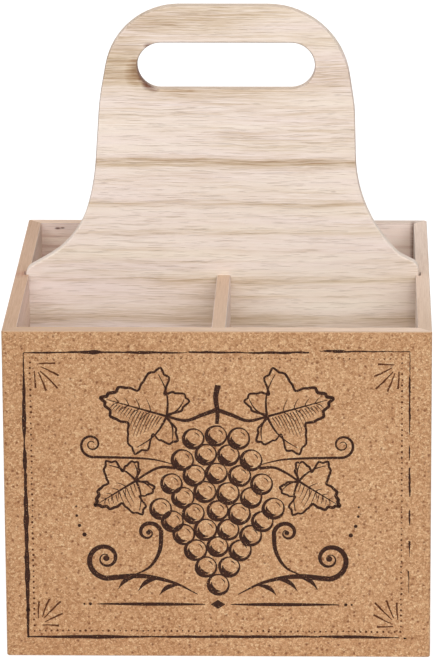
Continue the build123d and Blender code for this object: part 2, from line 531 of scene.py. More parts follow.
@dataclass(frozen=True)
class CorkFinish:
    """Pressed cork sheet: granules of mixed sizes and tones, thin cracks between them and a few dark specks.

    Large and small granules, specks and the bends in them are so many a metre, and a bend's size is in metres.
    Four numbers are a span of a value and the range that it becomes. left_shade is painted shade, a darker tint
    at the left that fades out along left_shade_span. cut_edge, on what faces up, is partly the paler colour of
    cut cork and partly painted light.
    """

    name: str = "pressed_cork"
    crack: Colour = (138, 92, 58)
    speck: Colour = (116, 66, 38)
    # Partly the paler colour of freshly cut cork, partly painted light on the sheet's top edge, which faces up
    # to the lamps.
    cut_edge: Colour = (226, 193, 162)
    left_shade: Colour = (249, 247, 245)
    tones: tuple[tuple[float, Colour], ...] = (
        (0.0, (136, 91, 58)),
        (0.28, (175, 128, 88)),
        (0.52, (196, 150, 109)),
        (0.76, (211, 168, 126)),
        (1.0, (232, 201, 160)),
    )
    large: float = 1150.0
    small: float = 2400.0
    specks: float = 400.0
    bends: float = 900.0
    bend: float = 0.0009
    dust: Noise = Noise((3600, 3600, 3600), 1.0)
    broad: Noise = Noise((22, 22, 22), 3.0)
    tone_weights: tuple[float, ...] = (0.54, 0.36, 0.1, 0.08)
    gap: tuple[float, ...] = (0.0, 0.09, 0.45, 0.0)
    rare: Span = (0.5, 0.66)
    speck_edge: Span = (0.34, 0.12)
    speck_share: float = 0.8
    left_shade_span: Span = (-0.1, 0.02)
    up: tuple[float, ...] = (0.6, 0.95, 0.0, 0.75)
    groove: tuple[float, ...] = (0.0, 0.15, 0.0, 0.4)
    relief_weights: tuple[float, ...] = (0.35, 0.2, -0.5)
    rough: float = 0.78
    relief_depth: float = 0.00022

    def cells(self, graph: Graph, point: Socket, scale: float, feature: str = "F1") -> bpy.types.NodeOutputs:
        """Gives the outputs of a pattern of cells with so many cells a metre."""
        return graph.node("TexVoronoi", {"Vector": point, "Scale": scale}, feature=feature).outputs

    def chance(self, graph: Graph, cells: bpy.types.NodeOutputs) -> Socket:
        """Gives one random number from 0 to 1 for each cell."""
        return graph.node("SeparateColor", {0: cells["Color"]}).outputs[0]

    def surface(self, graph: Graph) -> tuple[Socket, Socket]:
        """Works out the sheet's colour and relief.

        Args:
            graph: The material's nodes.

        Returns:
            The colour, and the relief from 0 to 1.
        """
        place = graph.place()
        stir = graph.node("TexNoise", {"Vector": place, "Scale": self.bends}).outputs["Color"]
        point = graph.moved(place, graph.scaled(stir, (self.bend, self.bend, self.bend)))
        large = self.chance(graph, self.cells(graph, point, self.large))
        small = self.chance(graph, self.cells(graph, point, self.small))
        crack = self.cells(graph, point, self.large, "DISTANCE_TO_EDGE")["Distance"]
        specks = self.cells(graph, point, self.specks)
        dust, broad = graph.noise(place, self.dust), graph.noise(place, self.broad)
        layers = zip((large, small, dust, broad), self.tone_weights)
        value = graph.total(*(graph.times(layer, weight) for layer, weight in layers))
        colour = graph.ramp(value, [(stop, linear(tone)) for stop, tone in self.tones])
        colour = graph.coat(graph.remap(crack, *self.gap), colour, self.crack)
        rare = graph.remap(self.chance(graph, specks), *self.rare)
        dark = graph.times(rare, graph.remap(specks["Distance"], *self.speck_edge), self.speck_share)
        colour = graph.coat(dark, colour, self.speck)
        # Painted shade: the cork darker towards the left.
        tint = graph.mix(graph.remap(graph.parts(place)["X"], *self.left_shade_span), linear(self.left_shade), WHITE)
        colour = graph.mix(1.0, colour, tint, "MULTIPLY")
        # The sheet's top edge gets cut_edge where it faces up: partly cut cork, partly painted light.
        colour = graph.coat(graph.remap(graph.facing()["Z"], *self.up), colour, self.cut_edge)
        layers = zip((large, dust, dark), self.relief_weights)
        granules, dusty, pits = (graph.times(layer, weight) for layer, weight in layers)
        return colour, graph.total(granules, graph.remap(crack, *self.groove), dusty, pits)

    def material(self) -> bpy.types.Material:
        """Builds the cork."""
        graph = Graph(bpy.data.materials.new(self.name))
        colour, relief = self.surface(graph)
        return graph.finish(colour, self.rough, relief, self.relief_depth)


@dataclass(frozen=True)
class InkFinish:
    """Matt ink that sits on the cork, thinner over the proud granules, with a few bare flecks."""

    name: str = "brown_black_ink"
    full: Colour = (36, 20, 15)
    worn: Colour = (84, 50, 34)
    thin: Noise = Noise((700, 700, 700))
    thin_share: float = 0.55
    flecks: Noise = Noise((1500, 1500, 1500))
    fleck_span: tuple[float, ...] = (0.86, 0.97, 0.0, 0.75)
    rough: Span = (0.55, 0.72)
    relief_depth: float = 0.00012
    gloss: float = 0.12
    cork: CorkFinish = CorkFinish()

    def material(self) -> bpy.types.Material:
        """Builds the ink."""
        graph = Graph(bpy.data.materials.new(self.name))
        place = graph.place()
        beneath, relief = self.cork.surface(graph)
        thin = graph.noise(place, self.thin)
        colour = graph.mix(graph.times(thin, self.thin_share), linear(self.full), linear(self.worn))
        colour = graph.mix(graph.remap(graph.noise(place, self.flecks), *self.fleck_span), colour, beneath)
        rough = graph.remap(thin, 0.0, 1.0, *self.rough)
        return graph.finish(colour, rough, relief, self.relief_depth, gloss=self.gloss)


@dataclass(frozen=True)
class SteelFinish:
    """Bright drawn steel wire with fine scratches."""

    name: str = "drawn_steel"
    bright: Colour = (190, 190, 188)
    dull: Colour = (140, 138, 134)
    scratches: Noise = Noise((4000, 400, 4000))
    rough: Span = (0.28, 0.45)
    relief_depth: float = 0.00002

    def material(self) -> bpy.types.Material:
        """Builds the steel."""
        graph = Graph(bpy.data.materials.new(self.name))
        scratch = graph.noise(graph.place(), self.scratches)
        colour = graph.mix(scratch, linear(self.bright), linear(self.dull))
        rough = graph.remap(scratch, 0.0, 1.0, *self.rough)
        return graph.finish(colour, rough, scratch, self.relief_depth, metal=1.0)


def dress(nodes: dict[str, bpy.types.Object], name: str, material: bpy.types.Material) -> None:
    """Gives a CAD node its finish on every slot and reports it."""
    mesh = nodes[name].data
    if not mesh.materials:
        mesh.materials.append(material)
    for index in range(len(mesh.materials)):
        mesh.materials[index] = material
    LOG.info("dressed %s in %s", name, material.name)


def growth_bands(*rows: tuple[float, float, float]) -> tuple[Band, ...]:
    """Gives growth bands from rows of height, reach and strength."""
    return tuple(Band(*row) for row in rows)


def marks(y: float, deep: float, *rows: tuple[float, ...]) -> tuple[Spot, ...]:
    """Gives spots that share their place and reach in y.

    Args:
        y: Their place in y.
        deep: Their reach in y.
        rows: Their places in x and z, their reaches in x and z, strength, and soft where it isn't 1.

    Returns:
        The spots.
    """
    return tuple(Spot((x, y, z), (wide, deep, high), *rest) for x, z, wide, high, *rest in rows)


@dataclass
class CrossedBoards:
    """Handle board and divider, the two boards that cross inside the box."""

    handle_bands: tuple[Band, ...] = growth_bands(
        (0.0700, 0.0060, 0.30), (0.1060, 0.0050, 0.26), (0.1375, 0.0052, 0.26), (0.1484, 0.0012, 0.15),
        (0.1568, 0.0024, 0.22), (0.1660, 0.0020, 0.12), (0.1722, 0.0019, 0.16), (0.1803, 0.0025, 0.19),
        (0.1951, 0.0027, 0.34), (0.2155, 0.0042, 0.46), (0.2168, 0.0011, 0.20),
    )
    # Figuring high on the board; the two spots of negative strength low on it are painted light, lightening the
    # board where the walls shade it.
    handle_figure_and_light: tuple[Spot, ...] = marks(
        0.0, 0.05,
        (0.0, 0.285, 0.3, 0.05, 0.15, 0.5), (-0.05, 0.265, 0.027, 0.0155, 0.2, 0.6),
        (-0.025, 0.285, 0.056, 0.0095, 0.19, 0.8), (-0.0405, 0.2595, 0.006, 0.0085, 0.4, 0.8),
        (0.054, 0.2555, 0.02, 0.005, 0.14), (-0.005, 0.2485, 0.07, 0.005, 0.16),
        (-0.02, 0.2511, 0.019, 0.001, 0.34), (0.0, 0.176, 0.13, 0.019, -0.17, 0.7),
        (0.05, 0.146, 0.05, 0.015, -0.19, 0.7),
    )
    # Dark mark at the slot's lower left end: partly darker wood, partly painted shade on the slot's end face,
    # which faces away from the light.
    slot_mark_and_shade: tuple[Spot, ...] = (
        Spot((-0.0372, 0.0, 0.2583), (0.0080, 0.02, 0.0085), 0.85, 0.5, cut_edge=True),
    )
    # The same dark mark on the face beside the slot, partly darker wood and partly painted shade; the last spot
    # darkens the board beside the right wall, low in the box.
    face_marks_and_shade: tuple[Spot, ...] = marks(
        -0.003, 0.006,
        (-0.0341, 0.2537, 0.0043, 0.0028, 1.0, 0.6), (-0.0320, 0.2513, 0.0030, 0.0014, 0.8),
        (-0.0359, 0.2550, 0.0026, 0.0022, 0.9, 0.7), (-0.0378, 0.2571, 0.0023, 0.0027, 0.85, 0.7),
        (-0.0392, 0.2598, 0.0019, 0.0040, 0.6), (-0.0408, 0.2625, 0.0026, 0.0070, 0.4),
        (-0.0343, 0.2731, 0.0032, 0.0016, 0.8, 0.7), (0.0935, 0.1400, 0.0050, 0.0240, 0.3),
    )
    flecks: tuple[Spot, ...] = marks(
        -0.003, 0.004,
        (0.0560, 0.2491, 0.0028, 0.0005, 0.6), (0.0537, 0.2013, 0.0020, 0.0005, 0.6),
        (-0.0564, 0.2055, 0.0028, 0.0006, 0.5), (-0.0731, 0.1811, 0.0014, 0.0006, 0.4),
    )

    def handle(self) -> WoodFinish:
        """Gives the handle board's finish, its bands, figuring and painted light placed as the board has them.
        """
        return WoodFinish(
            "handle_wood", plank=(0.31, 0.07, 0.02), tan=(207, 188, 166), brown=(164, 135, 104),
            # arris_shade paints shade on the handle's rounded edges, and sweep_light_share lays painted light on
            # its low sweeps.
            edge=(226, 204, 184), arris_shade=(150, 130, 124), arris_axis="Y", arris_shade_share=0.56, sweep_light_share=0.8,
            bands=self.handle_bands, figure_and_light=self.handle_figure_and_light,
            stains_and_shade=(*self.slot_mark_and_shade, *self.face_marks_and_shade, *self.flecks),
        )

    def divider(self) -> WoodFinish:
        """Gives the divider's finish, with its tan top edge."""
        return WoodFinish(
            "divider_wood", Grain.ALONG_Y, plank=(0.7, 0.21, 0.4), pale=(242, 227, 215), tan=(220, 194, 173),
            edge=(208, 175, 146),
        )

    def dress(self, nodes: dict[str, bpy.types.Object]) -> None:
        """Gives both boards their finishes."""
        dress(nodes, "handle_board", self.handle().material())
        dress(nodes, "cross_divider", self.divider().material())


@dataclass
class BoxBoards:
    """Four mitred walls and the base."""

    # Upper-edge colours of each wall, at its left or front end and at the other: the edge grain's tan, with
    # painted light and shade making one end lighter than the other.
    front_edge_painted_light: tuple[Colour, Colour] = ((203, 164, 129), (248, 220, 197))
    left_edge_painted_light: tuple[Colour, Colour] = ((199, 161, 128), (208, 169, 137))
    right_edge_painted_light: tuple[Colour, Colour] = ((211, 180, 153), (253, 228, 210))
    back_edge_painted_light: tuple[Colour, Colour] = ((249, 215, 186), (228, 208, 192))
    left_bands: tuple[Band, ...] = growth_bands(
        (0.0280, 0.0040, 0.24), (0.0710, 0.0030, 0.20), (0.0755, 0.0012, 0.26), (0.1180, 0.0055, 0.18)
    )
    right_bands: tuple[Band, ...] = growth_bands(
        (0.0150, 0.0050, 0.20), (0.0520, 0.0020, 0.26), (0.0930, 0.0060, 0.16), (0.1310, 0.0024, 0.24)
    )
    back_bands: tuple[Band, ...] = growth_bands(
        (0.0230, 0.0040, 0.22), (0.0600, 0.0020, 0.26), (0.0980, 0.0050, 0.18), (0.1340, 0.0030, 0.26),
        (0.1420, 0.0022, 0.22), (0.1478, 0.0016, 0.30), (0.1530, 0.0012, 0.20),
    )
    # Painted light: a spot of negative strength that lightens the left wall's inner face behind the handle,
    # where it lies in shade.
    left_painted_light: tuple[Spot, ...] = marks(0.05, 0.05, (-0.0933, 0.14, 0.02, 0.05, -0.4, 0.8))
    # A darker reddish spot on the left wall's top, by the end of the handle board's groove.
    left_groove_spot: tuple[Spot, ...] = marks(-0.001, 0.008, (-0.097, 0.1597, 0.0046, 0.004, 0.6))
    # Painted light: a spot of negative strength that lightens the back wall's inner face at the right, behind
    # the handle, where it lies in shade.
    back_painted_light: tuple[Spot, ...] = marks(0.0933, 0.02, (0.075, 0.147, 0.04, 0.022, -0.24, 0.8))
    dash_stains: tuple[Spot, ...] = marks(
        0.0933, 0.004,
        (-0.0852, 0.1570, 0.0017, 0.0007, 1.0, 0.6), (-0.0827, 0.1572, 0.0013, 0.0006, 0.9, 0.6),
        (-0.0838, 0.1571, 0.0036, 0.0006, 0.5, 0.8),
    )
    # A dark line down the back-right inner corner: partly a dark glue joint, partly painted shade in the corner.
    corner_joint_and_shade: tuple[Spot, ...] = marks(0.0933, 0.006, (0.0932, 0.08, 0.002, 0.4, 0.85, 0.9))

    def finishes(self) -> dict[str, WoodFinish]:
        """Gives each board its own finish, so that no two look sawn from the same place."""
        across, along = Grain.ALONG_X, Grain.ALONG_Y
        front, left, right, back = self.front_edge_painted_light, self.left_edge_painted_light, self.right_edge_painted_light, self.back_edge_painted_light
        return {
            "front_panel": WoodFinish("front_wood", across, (1.3, 0.5, 0.1), edge=front[0], far_edge_painted_light=front[1]),
            "left_panel": WoodFinish(
                "left_wood", along, (2.1, 0.9, 0.3), light=(255, 232, 216), pale=(232, 208, 194),
                tan=(208, 175, 154), edge=left[0], far_edge_painted_light=left[1], bands=self.left_bands,
                figure_and_light=self.left_painted_light, stains_and_shade=self.left_groove_spot, stain_and_shade=(168, 104, 84),
            ),
            "right_panel": WoodFinish(
                "right_wood", along, (3.4, 0.2, 0.6), edge=right[0], far_edge_painted_light=right[1], edge_grain=0.2,
                bands=self.right_bands,
            ),
            "back_panel": WoodFinish(
                "back_wood", across, (4.2, 0.4, 0.8), light=(252, 238, 230), pale=(248, 230, 219),
                tan=(227, 200, 186), brown=(168, 128, 113), edge=back[0], far_edge_painted_light=back[1],
                bands=self.back_bands, figure_and_light=self.back_painted_light, stains_and_shade=(*self.dash_stains, *self.corner_joint_and_shade),
            ),
            "base_panel": WoodFinish("base_wood", Grain.FLAT_X, (5.5, 0.6, 0.9), edge_share=0.0),
        }

    def dress(self, nodes: dict[str, bpy.types.Object]) -> None:
        """Gives each board its finish."""
        for name, finish in self.finishes().items():
            dress(nodes, name, finish.material())


@dataclass
class CorkFacing:
    """Cork sheet on the front wall."""

    cork: CorkFinish = CorkFinish()

    def dress(self, nodes: dict[str, bpy.types.Object]) -> None:
        """Gives the sheet its finish."""
        dress(nodes, "front_cork", self.cork.material())


@dataclass
class Brads:
    """Brads of the corners and the base, whose heads lie flush in the bare walls."""

    steel: SteelFinish = SteelFinish()

    def dress(self, nodes: dict[str, bpy.types.Object]) -> None:
        """Gives the brads their steel."""
        steel = self.steel.material()
        for name in ("corner_brads", "base_brads"):
            dress(nodes, name, steel)


@dataclass(frozen=True)
class Strokes:
    """Inked strokes with the same number of points each.

    paths holds each stroke's middle line as x and z in millimetres, with shape (strokes, points, 2), and widths
    its breadth at each point, with shape (strokes, points).
    """

    paths: Array
    widths: Array

    def mirrored(self) -> "Strokes":
        """Gives the same strokes on the other side of the middle."""
        return Strokes(self.paths * (-1.0, 1.0), self.widths)

    def unsteady(self, seed: int, wander: float, swell: float) -> "Strokes":
        """Makes the strokes look drawn by hand.

        Each is moved and its breadth changed by a sum of four sine waves along it, of 1 to 7 turns, the shorter
        ones being smaller. The breadth stays between 0.35 and 2 times what it was.

        Args:
            seed: Seed of the waves' sizes and starts.
            wander: How far a stroke may move, in millimetres.
            swell: By what share its breadth may change.

        Returns:
            The uneven strokes.
        """
        count, points = self.widths.shape
        chance = np.random.default_rng(seed)
        along = np.linspace(0, 2 * np.pi, points)
        turns = np.array([1.0, 2.3, 4.1, 6.7])[:, None]
        shape = (3, count, len(turns), 1)
        size = chance.normal(size=shape) / (1 + 0.35 * turns)
        start = chance.uniform(0, 2 * np.pi, size=shape)
        waves = (size * np.sin(turns * along + start)).sum(axis=2)
        shift = np.stack((waves[0], waves[1]), axis=-1) * wander
        return Strokes(self.paths + shift, self.widths * np.clip(1 + swell * waves[2], 0.35, 2.0))


def swelling(points: int, ends: float, middle: float, power: float = 1.0) -> Array:
    """Breadth along a stroke: ends plus the rest of middle times the sine of half a turn, to a power.

    Args:
        points: Number of points.
        ends: Breadth at both ends.
        middle: Breadth half way.
        power: Above 1 the stroke swells late, below 1 early.

    Returns:
        One breadth for each point.
    """
    return ends + (middle - ends) * np.sin(np.linspace(0, np.pi, points)) ** power


def tapering(points: int, start: float, end: float, power: float = 1.0) -> Array:
    """Breadth that falls from start to end, as a power of the share of the way."""
    return start + (end - start) * np.linspace(0, 1, points) ** power


def straight(starts: Array, ends: Array, points: int, bow: float | Array = 0.0) -> Array:
    """Lines between pairs of points, bowed sideways by a share of their length times the sine of half a turn.

    Args:
        starts: First points, with shape (strokes, 2).
        ends: Last points, with the same shape.
        points: Number of points on each line.
        bow: Share of its length by which a line bows to its left, for all or with shape (strokes, 1, 1).

    Returns:
        Paths with shape (strokes, points, 2).
    """
    share = np.linspace(0, 1, points)[None, :, None]
    run = (ends - starts)[:, None, :]
    left = np.stack((-run[..., 1], run[..., 0]), axis=-1)
    return starts[:, None, :] + share * run + bow * np.sin(np.pi * share) * left


def turning(centres: Array, radii: Array, first: Array, last: Array, points: int) -> Array:
    """Curves about centres whose radius and angle change evenly from first to last.

    A point is the centre plus the radius times the cosine and sine of the angle. The radius changes by an equal
    factor at each step, so equal radii give an arc and unequal ones a spiral.

    Args:
        centres: Middles, with shape (strokes, 2).
        radii: First and last radius of each, with shape (strokes, 2).
        first: First angle of each, in turns.
        last: Last angle of each, in turns.
        points: Number of points on each curve.

    Returns:
        Paths with shape (strokes, points, 2).
    """
    share = np.linspace(0, 1, points)
    angle = 2 * np.pi * (first[:, None] + (last - first)[:, None] * share)
    radius = radii[:, :1] * (radii[:, 1:] / radii[:, :1]) ** share
    reach = np.stack((np.cos(angle), np.sin(angle)), axis=-1) * radius[..., None]
    return centres[:, None, :] + reach


def through(corners: Sequence[Flat], points: int) -> Array:
    """Smooth curve through a row of points.

    Between two of them it is the cubic whose slope at each is half the step between that point's neighbours.

    Args:
        corners: The points, as x and z.
        points: Number of points on the curve.

    Returns:
        One path with shape (1, points, 2).
    """
    given = np.array(corners, float)
    row = np.concatenate((2 * given[:1] - given[1:2], given, 2 * given[-1:] - given[-2:-1]))
    spans = len(row) - 3
    place = np.linspace(0, spans, points)
    index = np.minimum(place.astype(int), spans - 1)
    share = (place - index)[:, None]
    before, start, end, after = (row[index + step] for step in range(4))
    cubic = 3 * (start - end) + after - before
    square = 2 * before - 5 * start + 4 * end - after
    return (start + 0.5 * share * (end - before + share * (square + share * cubic)))[None]


def alike(paths: Array, widths: Array) -> Strokes:
    """Gives strokes that all have the same breadths."""
    return Strokes(paths, np.tile(widths, (len(paths), 1)))


def single(corners: Sequence[Flat], widths: Array) -> Strokes:
    """Gives one stroke that runs smoothly through some points, with as many points as there are breadths."""
    return alike(through(corners, len(widths)), widths)


@dataclass
class FrontPrint:
    """Print on the front sheet: a ruled frame, a dotted line, ray fans, and grapes between leaves and scrolls.

    face is the sheet's face in y. The ribbons stand proud of it and are sunk in it, and each is a step prouder
    than the last, all in metres. The other lengths are in millimetres, and left, right, low and high are where
    the frame line runs. rows holds the number of berries in each row, from the top.
    """

    face: float = -0.1
    proud: float = 0.00003
    sunk: float = 0.00005
    step: float = 0.0000002
    left: float = -89.9
    right: float = 89.7
    low: float = 9.5
    high: float = 150.0
    dot_pitch: float = 2.7
    dot_margin: float = 3.1
    dot_points: int = 7
    dot_end: float = 0.12
    line_points: int = 140
    berry: float = 5.0
    berry_pitch: float = 2.12
    row_pitch: float = 0.866
    row_sag: float = 0.012
    rows: tuple[int, ...] = (3, 4, 5, 6, 5, 4, 3, 2, 1)
    bunch_top: float = 109.5
    leaf_points: int = 260
    teeth: int = 26
    tooth: float = 0.045
    thinly_inked: tuple[str, ...] = ("ink_dotted_line", "ink_corner_fans")

    def mesh(self, name: str, strokes: Sequence[Strokes]) -> bpy.types.Object:
        """Turns strokes into one object of thin closed ribbons on the front sheet.

        With T the direction of the path and N the same turned a quarter to its left, the four corners of the
        ribbon at each point are the point plus and minus half the breadth along N, once just under the sheet's
        face and once just proud of it. Each stroke stands a little prouder than the one before it, so that no
        two tops are level where they cross. Quads join the corners of neighbouring points and close both ends.

        Args:
            name: Name of the object.
            strokes: The strokes.

        Returns:
            The object.
        """
        corners, quads, used, count = [], [], 0, 0
        for group in strokes:
            total, points = group.widths.shape
            run = np.gradient(group.paths, axis=1)
            run /= np.maximum(np.linalg.norm(run, axis=-1, keepdims=True), 1e-9)
            side = np.stack((-run[..., 1], run[..., 0]), axis=-1) * group.widths[..., None] / 2
            right, left = group.paths - side, group.paths + side
            flat = np.stack((right, left, left, right), axis=2)
            top = self.proud + self.step * (count + np.arange(total))
            depth = np.stack((np.full(total, -self.sunk), np.full(total, -self.sunk), top, top), axis=-1)
            place = np.empty((total, points, 4, 3))
            place[..., (0, 2)] = flat / MILLIMETRES
            place[..., 1] = self.face - depth[:, None, :]
            corners.append(place.reshape(-1, 3))
            number = used + np.arange(total * points * 4).reshape(total, points, 4)
            around = np.roll(number, -1, axis=2)
            sides = np.stack((number[:, :-1], around[:, :-1], around[:, 1:], number[:, 1:]), axis=-1)
            quads += [sides.reshape(-1, 4), number[:, 0, ::-1], number[:, -1]]
            used += place.size // 3
            count += total
        mesh = bpy.data.meshes.new(name)
        mesh.from_pydata(np.concatenate(corners), (), np.concatenate(quads).tolist())
        mesh.validate()
        return linked(name, mesh)

    def frame_line(self) -> list[Strokes]:
        """Gives the uneven ruled frame, heavy at the left and broken at the right."""
        left, right, low, high = self.left, self.right, self.low, self.high
        runs = (
            ((left + 0.1, high - 0.5), (-66.0, high - 0.3), (0.45, 0.7, 0.8, 0.7, 0.9)),
            ((-71.0, high - 0.1), (-47.0, high - 0.2), (0.3, 1.2, 1.5, 1.2, 0.9)),
            ((-50.0, high - 0.2), (-13.5, high - 0.3), (0.8, 1.2, 1.2, 0.9, 0.3)),
            ((-13.0, high), (15.0, high - 0.2), (0.7, 1.1, 1.1, 0.9, 0.5)),
            ((12.0, high - 0.3), (27.0, high - 0.8), (0.25, 0.35, 0.3, 0.4, 0.2)),
            ((15.0, high - 0.2), (43.0, high), (0.5, 0.7, 1.2, 1.3, 0.8)),
            ((47.8, high + 0.7), (62.5, high + 0.4), (0.3, 1.3, 1.4, 1.0, 0.7)),
            ((61.0, high + 0.5), (right + 0.1, high + 0.5), (0.6, 0.7, 0.6, 0.4, 0.4)),
            ((left + 0.1, high - 0.4), (left - 0.1, 106.0), (0.45, 0.9, 1.5, 2.1, 0.6)),
            ((left - 0.1, 106.6), (left + 0.1, 82.0), (0.6, 1.3, 1.6, 1.7, 1.7)),
            ((left + 0.1, 84.0), (left + 0.2, 22.0), (1.8, 2.1, 2.0, 2.1, 1.7)),
            ((left + 0.3, 24.0), (left, low - 0.5), (1.2, 1.5, 1.2, 1.2, 0.9)),
            ((right, high + 0.6), (right + 0.1, 137.0), (0.4, 0.35, 0.4, 0.35, 0.4)),
            ((right, 139.0), (right, 126.0), (0.4, 0.9, 0.9, 0.7, 0.4)),
            ((right, 127.5), (right + 0.1, 110.0), (0.5, 0.9, 0.9, 0.5, 0.2)),
            ((right, 105.0), (right + 0.1, 97.5), (0.2, 0.5, 0.7, 0.6, 0.2)),
            ((right + 0.1, 94.0), (right + 0.3, 79.5), (0.6, 1.0, 1.1, 0.9, 0.3)),
            ((right + 0.2, 73.5), (right + 0.3, 65.5), (0.3, 0.9, 0.9, 0.7, 0.2)),
            ((right + 0.3, 57.8), (right + 0.3, 50.0), (0.9, 0.9, 0.5, 0.3, 0.2)),
            ((right - 0.1, 43.0), (right + 0.1, 32.0), (0.7, 0.5, 0.25, 0.25, 0.2)),
            ((left - 0.4, low - 0.1), (-22.0, low + 0.2), (0.8, 1.3, 1.4, 1.3, 1.1)),
            ((-24.0, low + 0.2), (48.0, low + 0.5), (1.1, 1.3, 1.5, 1.3, 0.8)),
            ((46.0, low + 0.6), (85.4, low + 0.2), (0.8, 1.4, 1.3, 1.2, 0.6)),
            ((87.6, low - 0.1), (88.8, low - 0.1), (0.3, 0.7, 0.8, 0.7, 0.3)),
        )
        starts = np.array([run[0] for run in runs])
        ends = np.array([run[1] for run in runs])
        share = np.linspace(0, 1, self.line_points)
        widths = np.stack([np.interp(share, np.linspace(0, 1, len(run[2])), run[2]) for run in runs])
        return [Strokes(straight(starts, ends, self.line_points), widths).unsteady(11, 0.1, 0.24)]

    def dotted_line(self) -> list[Strokes]:
        """Gives the rows of small dots inside the frame, at the foot, the top, the left and the right."""
        left, right = self.left + self.dot_margin, self.right - self.dot_margin - 0.4
        low, high = self.low + self.dot_margin, self.high - self.dot_margin
        across = np.arange(left, right, self.dot_pitch)
        upward = np.arange(low + self.dot_pitch, high, self.dot_pitch)
        level = [np.stack((across, np.full_like(across, z)), axis=-1) for z in (low, high)]
        plumb = [np.stack((np.full_like(upward, x), upward), axis=-1) for x in (left, right)]
        middle = np.concatenate((*level, *plumb))
        chance = np.random.default_rng(5)
        usual = np.repeat((0.94, 0.6, 0.95, 0.85), (len(across), len(across), len(upward), len(upward)))
        size = np.clip(usual * chance.normal(1.0, 0.16, len(middle)), 0.4, 1.25)
        return [self.dots(middle + chance.normal(0, 0.1, middle.shape), size)]

    def dots(self, middle: Array | Sequence[Flat], size: Array | Sequence[float]) -> Strokes:
        """Gives round dots: short strokes whose breadth follows a circle over their length.

        Args:
            middle: The dots' middles, with shape (dots, 2).
            size: Their diameters.

        Returns:
            The dots as strokes.
        """
        middle, size = np.asarray(middle), np.asarray(size)
        reach = np.cos(np.linspace(np.pi, 0, self.dot_points))
        level = np.stack((reach, np.zeros_like(reach)), axis=-1)
        widths = size[:, None] * np.maximum(np.sin(np.linspace(0, np.pi, self.dot_points)), self.dot_end)
        return Strokes(middle[:, None, :] + 0.5 * size[:, None, None] * level, widths)

    def corner_fans(self) -> list[Strokes]:
        """Gives five short rays in each corner, spread about a point near it."""
        starts = np.array(((7.1, 5.8), (8.1, 7.3), (7.7, 9.2), (6.9, 9.9), (5.0, 9.2)))
        ends = np.array(((14.8, 5.6), (16.5, 11.6), (15.8, 17.7), (10.4, 18.9), (5.5, 17.7)))
        heights, sides = ((self.high, -1), (self.low, 1)), ((self.left, 1), (self.right, -1))
        corners = [((x, z), (across, up)) for z, up in heights for x, across in sides]
        starts = np.concatenate([corner + starts * way for corner, way in corners])
        ends = np.concatenate([corner + ends * way for corner, way in corners])
        rays = alike(straight(starts, ends, 16, 0.015), tapering(16, 0.45, 0.95, 0.7))
        return [rays.unsteady(23, 0.05, 0.12)]

    def berries(self) -> Array:
        """Gives the berries' middles: sagging rows set like packed balls, with a single berry at the foot."""
        pitch = self.berry_pitch * self.berry
        chance = np.random.default_rng(8)
        rows = []
        for index, number in enumerate(self.rows):
            across = (np.arange(number) - (number - 1) / 2) * pitch
            up = self.bunch_top - index * pitch * self.row_pitch - self.row_sag * across**2
            rows.append(np.stack((across, up), axis=-1))
        middles = np.concatenate(rows)
        return middles + chance.normal(0, 0.18, middles.shape)

    def rounds(self, middles: Array, radius: Array, first: Array, last: Array, widths: Array) -> Strokes:
        """Gives an arc about each middle, from a first to a last angle in turns, all with the same breadths."""
        return alike(turning(middles, np.stack((radius, radius), axis=-1), first, last, len(widths)), widths)

    def grapes(self) -> list[Strokes]:
        """Gives the bunch: each berry a ring that thickens away from the light, with a crescent and a glint."""
        middles = self.berries()
        count = len(middles)
        chance = np.random.default_rng(3)
        radius = self.berry * chance.uniform(0.93, 1.0, count)
        inner = radius - 1.5
        first = 0.13 + chance.uniform(-0.02, 0.02, count)
        ring = self.rounds(middles, radius, first, first + 1.0, swelling(48, 0.55, 1.75, 1.6))
        crescent = self.rounds(middles, inner, first + 0.32, first + 0.68, swelling(24, 0.15, 1.9, 1.1))
        glint = self.rounds(middles, inner - 0.3, first - 0.1, first + 0.08, swelling(12, 0.15, 0.5))
        return [ring.unsteady(31, 0.07, 0.1), crescent.unsteady(32, 0.06, 0.12), glint]

    def leaf_outline(self, points: int) -> Array:
        """Gives a five-lobed leaf, its stalk at the origin and its tip along +x, in shares of its length.

        The outline is a smooth curve through given points, with a saw edge: it is pushed out from the leaf's
        middle by a share that rises and falls evenly once for each tooth, and not near the stalk.

        Args:
            points: Number of points on the outline.

        Returns:
            One path with shape (1, points, 2).
        """
        upper = (
            (0.02, 0.03), (-0.16, 0.16), (-0.20, 0.36), (0.00, 0.40), (0.16, 0.34), (0.16, 0.56),
            (0.34, 0.68), (0.50, 0.50), (0.56, 0.28), (0.78, 0.26), (0.92, 0.12),
        )
        lower = tuple((x, -z) for x, z in reversed(upper))
        path = through((*upper, (1.04, 0.0), *lower), points)
        share = np.linspace(0, 1, points)
        saw = 2 * np.abs(2 * ((self.teeth * share) % 1) - 1) - 1
        quiet = np.clip(np.minimum(share, 1 - share) / 0.06, 0, 1)
        middle = np.array((0.35, 0.0))
        return middle + (path - middle) * (1 + self.tooth * saw * quiet)[None, :, None]

